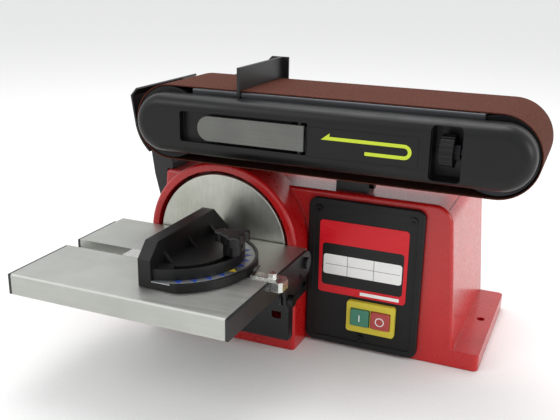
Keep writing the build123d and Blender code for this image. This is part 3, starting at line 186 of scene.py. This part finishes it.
black_abs = moulded("satin_black_abs", "#060606", "#0B0B0B", 0.38, edge_mm=1.2)
panel_abs = moulded("spark_textured_black_abs", "#0D0D0E", "#151516", 0.48, grain_mm=0.8, depth_mm=0.05)
gauge_nylon = moulded("glass_filled_black_nylon", "#0B0B0B", "#131313", 0.36, grain_mm=0.9, depth_mm=0.03)
yellow_plastic = moulded("yellow_switch_plastic", "#CDBB33", "#DCCB4A", 0.34)
green_plastic = moulded("green_button_plastic", "#3F7A66", "#4E8A70", 0.32)
red_plastic = moulded("red_button_plastic", "#A8403F", "#B5504E", 0.32)
drive_rubber = moulded("black_rubber", "#0E0E0E", "#1A1A1A", 0.62, grain_mm=0.9, depth_mm=0.04)
red_film = moulded("red_printed_film", "#CC1420", "#D61E2A", 0.3, depth_mm=0.004, edge_mm=0.2)

# %% [markdown]
# ## Machined aluminium
# The table is cast aluminium, milled and then brushed along its length. The brush leaves fine straight
# scratches, so the noise is stretched a hundredfold along X. Metal has no colour of its own under its
# reflection, so the scratches work mostly through roughness and bump, with a slight change of tone.

# %% Metals
def worked_metal(name, dark, light, rough, size_mm, stretch, depth_mm=0.006, metallic=1.0, edge_mm=0.5):
    """Bare or plated metal with marks of the given width, stretched along the tool's path."""
    made, tree, shader, place = start_material(name)
    bump, noise = grained(tree, place, size_mm, depth_mm, edge_mm, detail=3.0, stretch=stretch)
    cloud = add(tree, "TexNoise", {"Vector": place, "Scale": repeats(33.333), "Detail": 4.0})
    both = add(tree, "Math", {0: noise, 1: cloud}, operation="ADD")
    share = add(tree, "MapRange", {"Value": both, "From Min": 0.75, "From Max": 1.25})
    tone = add(tree, "Mix", {"Factor": share, FIRST: dark, SECOND: light}, MIXED, data_type="RGBA")
    spread = {"From Min": 0.3, "From Max": 0.7, "To Min": rough - 0.06, "To Max": rough + 0.08}
    connect(shader, {
        "Base Color": tone,
        "Roughness": add(tree, "MapRange", {"Value": noise, **spread}),
        "Metallic": metallic,
        "Normal": bump,
    })
    return made


ALONG_X = (0.01, 1, 1)
ALL_WAYS = (1, 1, 1)
table_aluminium = worked_metal("brushed_cast_aluminium", "#AEAFAA", "#BBBCB7", 0.45, 0.8, ALONG_X)
shield_aluminium = worked_metal("die_cast_aluminium", "#9C9D9A", "#B0B1AE", 0.48, 1.5, ALL_WAYS, 0.03)
can_aluminium = worked_metal("drawn_aluminium_can", "#B9BABA", "#CBCCCC", 0.3, 0.9, (1, 0.01, 1))
graphite_steel = worked_metal("graphite_coated_steel", "#48494A", "#55565A", 0.34, 0.9, ALONG_X, 0.002)
zinc_steel = worked_metal("zinc_plated_steel", "#BDBEBB", "#CFCFCB", 0.26, 3.0, ALL_WAYS, 0.002)
dark_steel = worked_metal("black_oxide_steel", "#2A2A2C", "#3C3C3E", 0.4, 1.5, ALL_WAYS, 0.01)
lever_steel = worked_metal("grey_painted_steel", "#62635F", "#6E6F6A", 0.42, 0.8, ALONG_X, metallic=0.35)
laminated_iron = worked_metal("laminated_iron", "#3E3E40", "#707072", 0.5, 0.9, (0.01, 1, 0.01), 0.04)
copper_wire = worked_metal("enamelled_copper_wire", "#8A4E24", "#C07A42", 0.3, 1.1, (0.3, 1, 0.3), 0.1)
print("finishes so far:", len(bpy.data.materials))

# %% [markdown]
# ## The sanding disc
# The disc is aluminium, faced on a lathe and left mottled where old adhesive was cleaned off. Its face
# has soft clouds of three or four centimetres, faint upright streaks, and fine rings about its own axle.
# The rings come from the distance to the axle, so they stay round.

# %% Disc finish
DISC_X, DISC_Z = -75.0, 112.0
disc_metal, tree, shader, place = start_material("faced_aluminium_disc")
edge = add(tree, "Bevel", {"Radius": 1.0 * MM}, samples=4)
from_axle = add(
    tree, "Mapping", {"Vector": place, "Location": (-DISC_X * MM, 0, -DISC_Z * MM), "Scale": (1, 0, 1)}
)
radius = add(tree, "VectorMath", {0: from_axle}, out="Value", operation="LENGTH")
RING_MM, CLOUD_MM, STREAK_MM = 1.1111, 35.714, 16.667
ring_scale = {"W": radius, "Scale": repeats(RING_MM), "Detail": 2.0}
rings = add(tree, "TexNoise", ring_scale, noise_dimensions="1D")
cloud_scale = {"Vector": place, "Scale": repeats(CLOUD_MM), "Detail": 5.0, "Roughness": 0.6}
clouds = add(tree, "TexNoise", cloud_scale)
streak_scale = (repeats(RING_MM), repeats(RING_MM), repeats(STREAK_MM))
drawn_out = add(tree, "Mapping", {"Vector": place, "Scale": streak_scale})
streaks = add(tree, "TexNoise", {"Vector": drawn_out, "Scale": 1.0})
share = add(tree, "MapRange", {"Value": clouds, "From Min": 0.35, "From Max": 0.65})
faced = add(tree, "Mix", {"Factor": share, FIRST: "#C2C3B8", SECOND: "#DBDCD3"}, MIXED, data_type="RGBA")
worn_share = add(
    tree, "MapRange", {"Value": streaks, "From Min": 0.3, "From Max": 0.7, "To Max": 0.25}
)
worn = add(tree, "Mix", {"Factor": worn_share, FIRST: faced, SECOND: "#A9AAA6"}, MIXED, data_type="RGBA")
gloss = add(
    tree, "MapRange",
    {"Value": clouds, "From Min": 0.3, "From Max": 0.7, "To Min": 0.34, "To Max": 0.5},
)
connect(shader, {
    "Base Color": worn,
    "Metallic": 1.0,
    "Roughness": gloss,
    "Normal": add(tree, "Bump", {"Distance": 0.01 * MM, "Height": rings, "Normal": edge}),
})

# %% [markdown]
# ## Abrasive cloth
# The belt is cotton cloth with aluminium oxide grains in red-brown resin. A medium grit is about 0.3 mm,
# which is too fine to show from here, so the grains are drawn at 0.9 mm. A cell pattern gives each grain
# its own tone, and a slow noise makes some parts of the belt look more worn.

# %% Belt finish
abrasive_cloth, tree, shader, place = start_material("aluminium_oxide_cloth")
GRAIN_MM = 0.9
grain = add(tree, "TexVoronoi", {"Vector": place, "Scale": repeats(GRAIN_MM)}, out="Color")
grain_tone = add(tree, "SeparateColor", {"Color": grain})
grain_height = add(tree, "TexVoronoi", {"Vector": place, "Scale": repeats(GRAIN_MM)}, out="Distance")
wear = add(tree, "TexNoise", {"Vector": place, "Scale": repeats(71.429), "Detail": 3.0})
share = add(tree, "MapRange", {"Value": grain_tone})
resin = add(tree, "Mix", {"Factor": share, FIRST: "#412219", SECOND: "#693A2D"}, MIXED, data_type="RGBA")
worn_share = add(tree, "MapRange", {"Value": wear, "From Min": 0.3, "From Max": 0.7, "To Max": 0.3})
worn = add(tree, "Mix", {"Factor": worn_share, FIRST: resin, SECOND: "#4E2A20"}, MIXED, data_type="RGBA")
connect(shader, {
    "Base Color": worn,
    "Roughness": 0.9,
    "IOR": 1.5,
    "Specular IOR Level": 0.15,
    "Normal": add(tree, "Bump", {"Distance": 0.12 * MM, "Height": grain_height}),
})

# %% [markdown]
# ## Printing inks
# Screen ink lies on a surface as a thin even film. A plain colour would look pasted on, so each ink has
# the slight unevenness of a rubbed print.

# %% Inks
white_ink = moulded("white_screen_ink", "#E9E9E6", "#F4F4F2", 0.4, depth_mm=0.004, edge_mm=0.1)
black_ink = moulded("black_screen_ink", "#101010", "#191919", 0.36, depth_mm=0.004, edge_mm=0.1)
lime_ink = moulded("yellow_green_screen_ink", "#BFD02F", "#C9DA3C", 0.42, depth_mm=0.004, edge_mm=0.1)
blue_ink = moulded("blue_screen_ink", "#1F3F96", "#2A4CA6", 0.4, depth_mm=0.004, edge_mm=0.1)
yellow_ink = moulded("yellow_screen_ink", "#D9B92E", "#E4C63A", 0.4, depth_mm=0.004, edge_mm=0.1)
band_silver = worked_metal("silver_printed_band", "#A9ADAF", "#BDC1C3", 0.42, 0.9, ALL_WAYS, 0.004)

# %% [markdown]
# ## Dress the solid model
# Each piece of the solid model gets the finish of the real one. The table below reads like a parts list:
# a finish, and the pieces that have it.

# %% Finish of each piece
finishes = {
    red_enamel: ["base_casting"],
    black_enamel: [
        "disc_lower_guard", "belt_post", "rest_block", "dust_chute", "table_brackets", "belt_frame",
        "end_guard", "work_stop", "table_end_plates", "table_trunnions",
    ],
    black_abs: ["side_cover", "tracking_knob", "pulley_cover", "dust_port", "cable_gland", "motor_fan"],
    panel_abs: ["control_panel", "switch_body"],
    gauge_nylon: ["mitre_head", "mitre_knob"],
    red_film: ["panel_label"],
    yellow_plastic: ["switch_frame"],
    green_plastic: ["start_button"],
    red_plastic: ["stop_button"],
    table_aluminium: ["work_table"],
    shield_aluminium: ["motor_end_shields"],
    can_aluminium: ["capacitor"],
    disc_metal: ["sanding_disc"],
    zinc_steel: [
        "bottom_plate", "pulley_backplate", "idler_yoke", "mitre_bar", "mitre_pointer",
    ],
    graphite_steel: ["platen"],
    dark_steel: [
        "panel_screws", "motor_bearings", "support_bolts", "pulley_cover_screw", "bracket_screws",
        "motor_shaft", "motor_pulley", "work_stop_screws", "tension_lever_pin", "tension_spring",
        # The idler roller's dark finish is partly painted shade: it is dark steel, and it also stands in
        # for the dark gap under the right end of the cover.
        "drum_bearings", "drum_pulley", "idler_axle", "idler_roller", "idler_bearings",
        "tracking_screw", "table_bolts",
    ],
    lever_steel: ["tension_lever"],
    laminated_iron: ["stator_core", "rotor_core"],
    copper_wire: ["stator_windings"],
    band_silver: ["mitre_scale"],
    abrasive_cloth: ["sanding_belt"],
    drive_rubber: ["drive_belt", "drive_roller"],
}
for finish, names in finishes.items():
    for name in names:
        mesh = nodes[name].data
        mesh.materials.clear()
        mesh.materials.append(finish)
plain = sorted(set(nodes) - {name for names in finishes.values() for name in names})
print("pieces without a finish:", plain)

# %% [markdown]
# ## Printed and moulded details
# A print or a low moulded line is a flat plate cut to an outline. A filled 2-D curve makes it well: an
# outline inside another becomes a hole, and the curve's own depth gives it thickness. The plate is then
# turned to lie on its face of the machine.

# %% Flat plates
def facing_front(y_mm):
    """Places a plate upright at y, with its x along +X and its y along +Z."""
    return Matrix(((1, 0, 0, 0), (0, 0, -1, y_mm * MM), (0, 1, 0, 0), (0, 0, 0, 1)))


def lying(x_mm, y_mm, z_mm):
    """Places a plate flat at a height, with its origin over x and y."""
    return Matrix.Translation((x_mm * MM, y_mm * MM, z_mm * MM))


def stencil(name, outlines, thickness_mm, place, finish, body):
    """A plate cut to outlines in millimetres, whose middle lies on its place."""
    curve = bpy.data.curves.new(name, "CURVE")
    curve.dimensions = "2D"
    curve.fill_mode = "BOTH"
    curve.extrude = thickness_mm * MM / 2
    for outline in outlines:
        spline = curve.splines.new("POLY")
        spline.points.add(len(outline) - 1)
        for point, (u, v) in zip(spline.points, outline):
            point.co = (u * MM, v * MM, 0, 1)
        spline.use_cyclic_u = True
    drawn = bpy.data.objects.new(name + "_outline", curve)
    mesh = bpy.data.meshes.new_from_object(drawn)
    bpy.data.objects.remove(drawn)
    mesh.transform(place)
    return finished(name, mesh, finish, body)


def finished(name, mesh, finish, body):
    """Makes a mesh a piece of the machine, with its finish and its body."""
    piece = bpy.data.objects.new(name, mesh)
    bpy.context.scene.collection.objects.link(piece)
    mesh.materials.clear()
    mesh.materials.append(finish)
    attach(piece, body)
    return piece


def arc(cx, cz, radius, start, end, steps=16):
    """Points along an arc, from start to end in degrees."""
    angles = [math.radians(start + (end - start) * i / steps) for i in range(steps + 1)]
    return [(cx + radius * math.cos(a), cz + radius * math.sin(a)) for a in angles]


def rounded(left, bottom, right, top, radius):
    """A rectangle with round corners."""
    return (
        arc(right - radius, top - radius, radius, 0, 90, 8)
        + arc(left + radius, top - radius, radius, 90, 180, 8)
        + arc(left + radius, bottom + radius, radius, 180, 270, 8)
        + arc(right - radius, bottom + radius, radius, 270, 360, 8)
    )


# %% [markdown]
# ### The belt's direction arrow
# A long arrow on the cover shows which way the belt runs: along the top to the left and back below. It
# is one bar bent into a hairpin, with half an arrowhead.

# %% Direction arrow
COVER_FRONT_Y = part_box("side_cover")[0].y / MM
BAR_TOP_Z, BAR_BOTTOM_Z, BAR_WIDTH = 250.7, 236.8, 3.3
TURN_X, TURN_Z = 130.6, (BAR_TOP_Z + BAR_BOTTOM_Z) / 2
TURN_RADIUS = (BAR_TOP_Z - BAR_BOTTOM_Z) / 2
TIP_X, BARB_X, BARB_Z, TAIL_X = 52.0, 60.5, 254.0, 94.4
arrow = (
    [(TIP_X, BAR_TOP_Z - BAR_WIDTH), (BARB_X, BARB_Z), (BARB_X - 0.5, BAR_TOP_Z)]
    + arc(TURN_X, TURN_Z, TURN_RADIUS, 90, -90)
    + [(TAIL_X, BAR_BOTTOM_Z), (TAIL_X, BAR_BOTTOM_Z + BAR_WIDTH)]
    + arc(TURN_X, TURN_Z, TURN_RADIUS - BAR_WIDTH, -90, 90)
)
stencil(
    "belt_direction_arrow", [arrow], 0.16, facing_front(COVER_FRONT_Y), lime_ink, "belt_arm"
)
# The arrow sits in a field with a fine raised edge, which is one rounded rectangle inside another.
field_edge = [rounded(37.0, 229.5, 144.0, 258.5, 2.0), rounded(37.7, 230.2, 143.3, 257.8, 1.5)]
stencil(
    "cover_field_edge", field_edge, 0.4, facing_front(COVER_FRONT_Y), black_abs, "belt_arm"
)
print("the arrow's bend has a radius of (mm):", round(TURN_RADIUS, 2))

# %% [markdown]
# ### The panel's label
# The label is a printed film: a black field on red, and a white box with a blank grid. Nothing is
# written on it, so it stays generic. Each colour is its own thin layer, stacked as they are printed.

# %% Panel label
LABEL_LEFT, LABEL_BOTTOM, LABEL_WIDE, LABEL_HIGH = 27.5, 62.0, 97.0, 82.0
LABEL_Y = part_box("panel_label")[0].y / MM


def on_label(u0, v0, u1, v1, radius):
    """A rounded rectangle on the label, in shares of its width and of its height from the top."""
    left, right = LABEL_LEFT + u0 * LABEL_WIDE, LABEL_LEFT + u1 * LABEL_WIDE
    top, bottom = LABEL_BOTTOM + (1 - v0) * LABEL_HIGH, LABEL_BOTTOM + (1 - v1) * LABEL_HIGH
    return rounded(left, bottom, right, top, radius)


# Each layer stands a little further out than the one before, so the later one covers the earlier.
LAYER_MM, LAYER_STEP_MM = 0.12, 0.03
layers = [
    ("label_black_field", [on_label(0.04, 0.31, 0.96, 0.89, 3.5)], black_ink),
    ("label_white_box", [on_label(0.055, 0.46, 0.945, 0.735, 3.0)], white_ink),
    (
        "label_grid",
        [on_label(0.33, 0.46, 0.335, 0.735, 0.1), on_label(0.63, 0.46, 0.635, 0.735, 0.1),
         on_label(0.075, 0.595, 0.329, 0.6, 0.1), on_label(0.336, 0.595, 0.629, 0.6, 0.1),
         on_label(0.636, 0.595, 0.925, 0.6, 0.1)],
        black_ink,
    ),
    ("label_white_strip", [on_label(0.49, 0.925, 0.93, 0.97, 0.3)], white_ink),
]
for step, (name, outlines, ink) in enumerate(layers, start=1):
    height = LABEL_Y - LAYER_STEP_MM * step
    stencil(name, outlines, LAYER_MM, facing_front(height), ink, "base")
print("layers of ink on the label:", len(layers))

# %% [markdown]
# ### The switch's marks
# A bar means on and a ring means off, the world over. Each mark rides on its own button.

# %% Switch marks
START_X, STOP_X, BUTTON_Z = 77.75, 100.25, 41.0
BUTTON_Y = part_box("start_button")[0].y / MM
BAR_HALF_WIDE, BAR_HALF_HIGH = 0.6, 3.8
RING_OUTER, RING_INNER, RING_POINTS = 4.9, 3.9, 48
MARK_MM = 0.2
bar = rounded(
    START_X - BAR_HALF_WIDE, BUTTON_Z - BAR_HALF_HIGH,
    START_X + BAR_HALF_WIDE, BUTTON_Z + BAR_HALF_HIGH, 0.3,
)
last_degree = 360 - 360 / RING_POINTS
ring = [arc(STOP_X, BUTTON_Z, r, 0, last_degree, RING_POINTS - 1) for r in (RING_OUTER, RING_INNER)]
on_buttons = facing_front(BUTTON_Y)
stencil("start_mark", [bar], MARK_MM, on_buttons, white_ink, "start_switch")
stencil("stop_mark", ring, MARK_MM, on_buttons, white_ink, "stop_switch")

# %% [markdown]
# ### The gauge's scale
# The silver band has a tick every 4 degrees, and a blue triangle with its number at each stop. One
# triangle is yellow and has no number.

# %% Mitre scale
GAUGE_X, GAUGE_Y = -75.0, -216.0
SCALE_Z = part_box("mitre_scale")[1].z / MM
on_scale = lying(GAUGE_X, GAUGE_Y, SCALE_Z)


def turned(points, degrees):
    """Turns points round the gauge's pivot."""
    a = math.radians(degrees)
    return [(x * math.cos(a) - y * math.sin(a), x * math.sin(a) + y * math.cos(a)) for x, y in points]


TICK_INNER, TICK_OUTER, TICK_HALF, TICK_EVERY = 72.6, 74.7, 0.16, 4
WEDGE_BASE, WEDGE_TIP, WEDGE_HALF = 65.6, 72.2, 3.9
END_STOP, YELLOW_STOP, INK_MM = 60, -12, 0.1
tick = [
    (TICK_INNER, -TICK_HALF), (TICK_OUTER, -TICK_HALF), (TICK_OUTER, TICK_HALF), (TICK_INNER, TICK_HALF)
]
wedge = [(WEDGE_BASE, -WEDGE_HALF), (WEDGE_TIP, 0.0), (WEDGE_BASE, WEDGE_HALF)]
stops = [degrees for degrees in range(-END_STOP, END_STOP + 1, 12) if degrees != YELLOW_STOP]
ticks = [turned(tick, degrees) for degrees in range(-END_STOP, END_STOP + 1, TICK_EVERY)]
blue_wedges = [turned(wedge, degrees) for degrees in stops]
yellow_wedge = turned(wedge, YELLOW_STOP)
stencil("scale_ticks", ticks, INK_MM, on_scale, black_ink, "mitre_gauge")
stencil("scale_wedges", blue_wedges, INK_MM, on_scale, blue_ink, "mitre_gauge")
stencil("square_wedge", [yellow_wedge], INK_MM, on_scale, yellow_ink, "mitre_gauge")
print("ticks and stops on the scale:", len(ticks), len(stops) + 1)

# %% [markdown]
# ### The scale's numbers
# A text object draws the figures, and its mesh is then turned so that their tops point away from the
# gauge's pivot. Each number sits on its own triangle.

# %% Scale numbers
FIGURE_MM, NUMBER_RADIUS = 2.2, 67.4
# A font's size is about 1.4 times the height of its figures.
FONT_SIZE_MM = FIGURE_MM * 1.4
outward = Matrix.Rotation(math.radians(-90), 4, "Z")
upright = Matrix.Translation((NUMBER_RADIUS * MM, 0, 0)) @ outward
for degrees in stops:
    text = bpy.data.curves.new("number", "FONT")
    text.body = str(abs(degrees))
    text.size = FONT_SIZE_MM * MM
    text.align_x = "CENTER"
    text.align_y = "CENTER"
    text.extrude = INK_MM / 2 * MM
    drawn = bpy.data.objects.new("number", text)
    mesh = bpy.data.meshes.new_from_object(drawn)
    bpy.data.objects.remove(drawn)
    mesh.transform(on_scale @ Matrix.Rotation(math.radians(degrees), 4, "Z") @ upright)
    name = "scale_number_" + ("minus_" if degrees < 0 else "") + str(abs(degrees))
    finished(name, mesh, white_ink, "mitre_gauge")

# %% [markdown]
# ### The gauge's window
# A small smoked window stands beside the rim of the gauge. It is a lens cut from sheet: an outline of
# two arcs with a little thickness, turned about its long axis so that it leans.

# %% Window
window_plastic = moulded("smoked_acrylic", "#3A3C3D", "#4A4C4D", 0.18, depth_mm=0.004, edge_mm=0.3)
LENS_RADIUS, SHEET_MM = 12.0, 1.2
WINDOW_X, WINDOW_Z = 8.5, 127.5
RIGHT_SIDE_FROM, LEFT_SIDE_FROM = -8.0, 10.4
right_side = arc(RIGHT_SIDE_FROM, 0.0, LENS_RADIUS, -40, 40, 12)
left_side = arc(LEFT_SIDE_FROM, 0.0, LENS_RADIUS, 140, 220, 12)
leaning = Matrix.Rotation(math.radians(-62), 4, "Y")
stencil(
    "pointer_window", [right_side + left_side], SHEET_MM,
    lying(WINDOW_X, GAUGE_Y, WINDOW_Z) @ leaning, window_plastic, "mitre_slider",
)

# %% [markdown]
# ## The studio
# The machine stands on a plain pale floor. A sheet of matt paper is enough, because it has to catch a
# soft shadow and nothing more. It lies a little below the feet, so the two surfaces never coincide.

# %% Floor
FLOOR_HALF, FLOOR_DROP = 20.0, 0.0005
corners = [(-FLOOR_HALF, -FLOOR_HALF, 0), (FLOOR_HALF, -FLOOR_HALF, 0),
           (FLOOR_HALF, FLOOR_HALF, 0), (-FLOOR_HALF, FLOOR_HALF, 0)]
floor_mesh = bpy.data.meshes.new("studio_floor")
floor_mesh.from_pydata(corners, [], [(0, 1, 2, 3)])
floor = bpy.data.objects.new("studio_floor", floor_mesh)
bpy.context.scene.collection.objects.link(floor)
floor.location.z = -FLOOR_DROP
paper, tree, shader, place = start_material("matt_white_paper")
fibre = add(tree, "TexNoise", {"Vector": place, "Scale": repeats(3.3333), "Detail": 2.0})
sheet = add(tree, "Mix", {"Factor": fibre, FIRST: "#F0F0EE", SECOND: "#F8F8F7"}, MIXED, data_type="RGBA")
connect(shader, {
    "Base Color": sheet,
    "Roughness": 0.9,
    "Specular IOR Level": 0.1,
})
floor_mesh.materials.append(paper)
meshes = [piece for piece in bpy.data.objects if piece.type == "MESH"]
print("meshes in the scene, with the floor:", len(meshes))

# %% [markdown]
# ## The lights
# A large soft light hangs above, a second one from the right puts the glow on the casting's side, and a
# third fills the front from the left. A bright world fills the rest, because metal and gloss show only
# what surrounds them.


# %% Lights
def softbox(name, location, faces, size, watts):
    """A square white studio light that faces a point."""
    lamp = bpy.data.lights.new(name, "AREA")
    lamp.size = size
    lamp.energy = watts
    light = bpy.data.objects.new(name, lamp)
    bpy.context.scene.collection.objects.link(light)
    light.location = location
    light.rotation_euler = (Vector(faces) - Vector(location)).to_track_quat("-Z", "Y").to_euler()
    return light


MIDDLE = (0.0, 0.0, 0.15)
softbox("overhead_softbox", (-0.2, 0.3, 1.9), MIDDLE, 1.2, 15.0)
softbox("right_softbox", (1.9, -0.4, 0.8), MIDDLE, 0.8, 9.0)
softbox("front_softbox", (-1.4, -1.6, 1.6), MIDDLE, 1.0, 9.0)
world = bpy.data.worlds.new("white_room")
world.use_nodes = True
connect(world.node_tree.nodes["Background"], {"Color": "#F6F7F8", "Strength": 0.95})
bpy.context.scene.world = world
bpy.context.scene.view_settings.view_transform = "Standard"

# %% [markdown]
# ## The camera
# The camera stands in front of the machine and to the right of its middle, above it, and looks back to
# the left and down. Its axes follow from three angles: round, up and roll.

# %% Camera
LENS_MM, SENSOR_MM = 49.56, 36.0
STANDS_AT = (0.29057, -0.82725, 0.40273)
TURN, RISE, ROLL = (math.radians(a) for a in (22.949, 17.824, 1.011))
back = Vector((math.sin(TURN) * math.cos(RISE), -math.cos(TURN) * math.cos(RISE), math.sin(RISE)))
right = (-back).cross(Vector((0, 0, 1))).normalized()
up = right.cross(-back)
rolled_right = right * math.cos(ROLL) + up * math.sin(ROLL)
rolled_up = up * math.cos(ROLL) - right * math.sin(ROLL)
lens = bpy.data.cameras.new("studio_camera")
lens.lens = LENS_MM
lens.sensor_width = SENSOR_MM
camera = bpy.data.objects.new("studio_camera", lens)
bpy.context.scene.collection.objects.link(camera)
axes = Matrix((rolled_right, rolled_up, back)).transposed().to_4x4()
camera.matrix_world = Matrix.Translation(STANDS_AT) @ axes
bpy.context.scene.camera = camera
print("the camera stands at (m):", STANDS_AT)
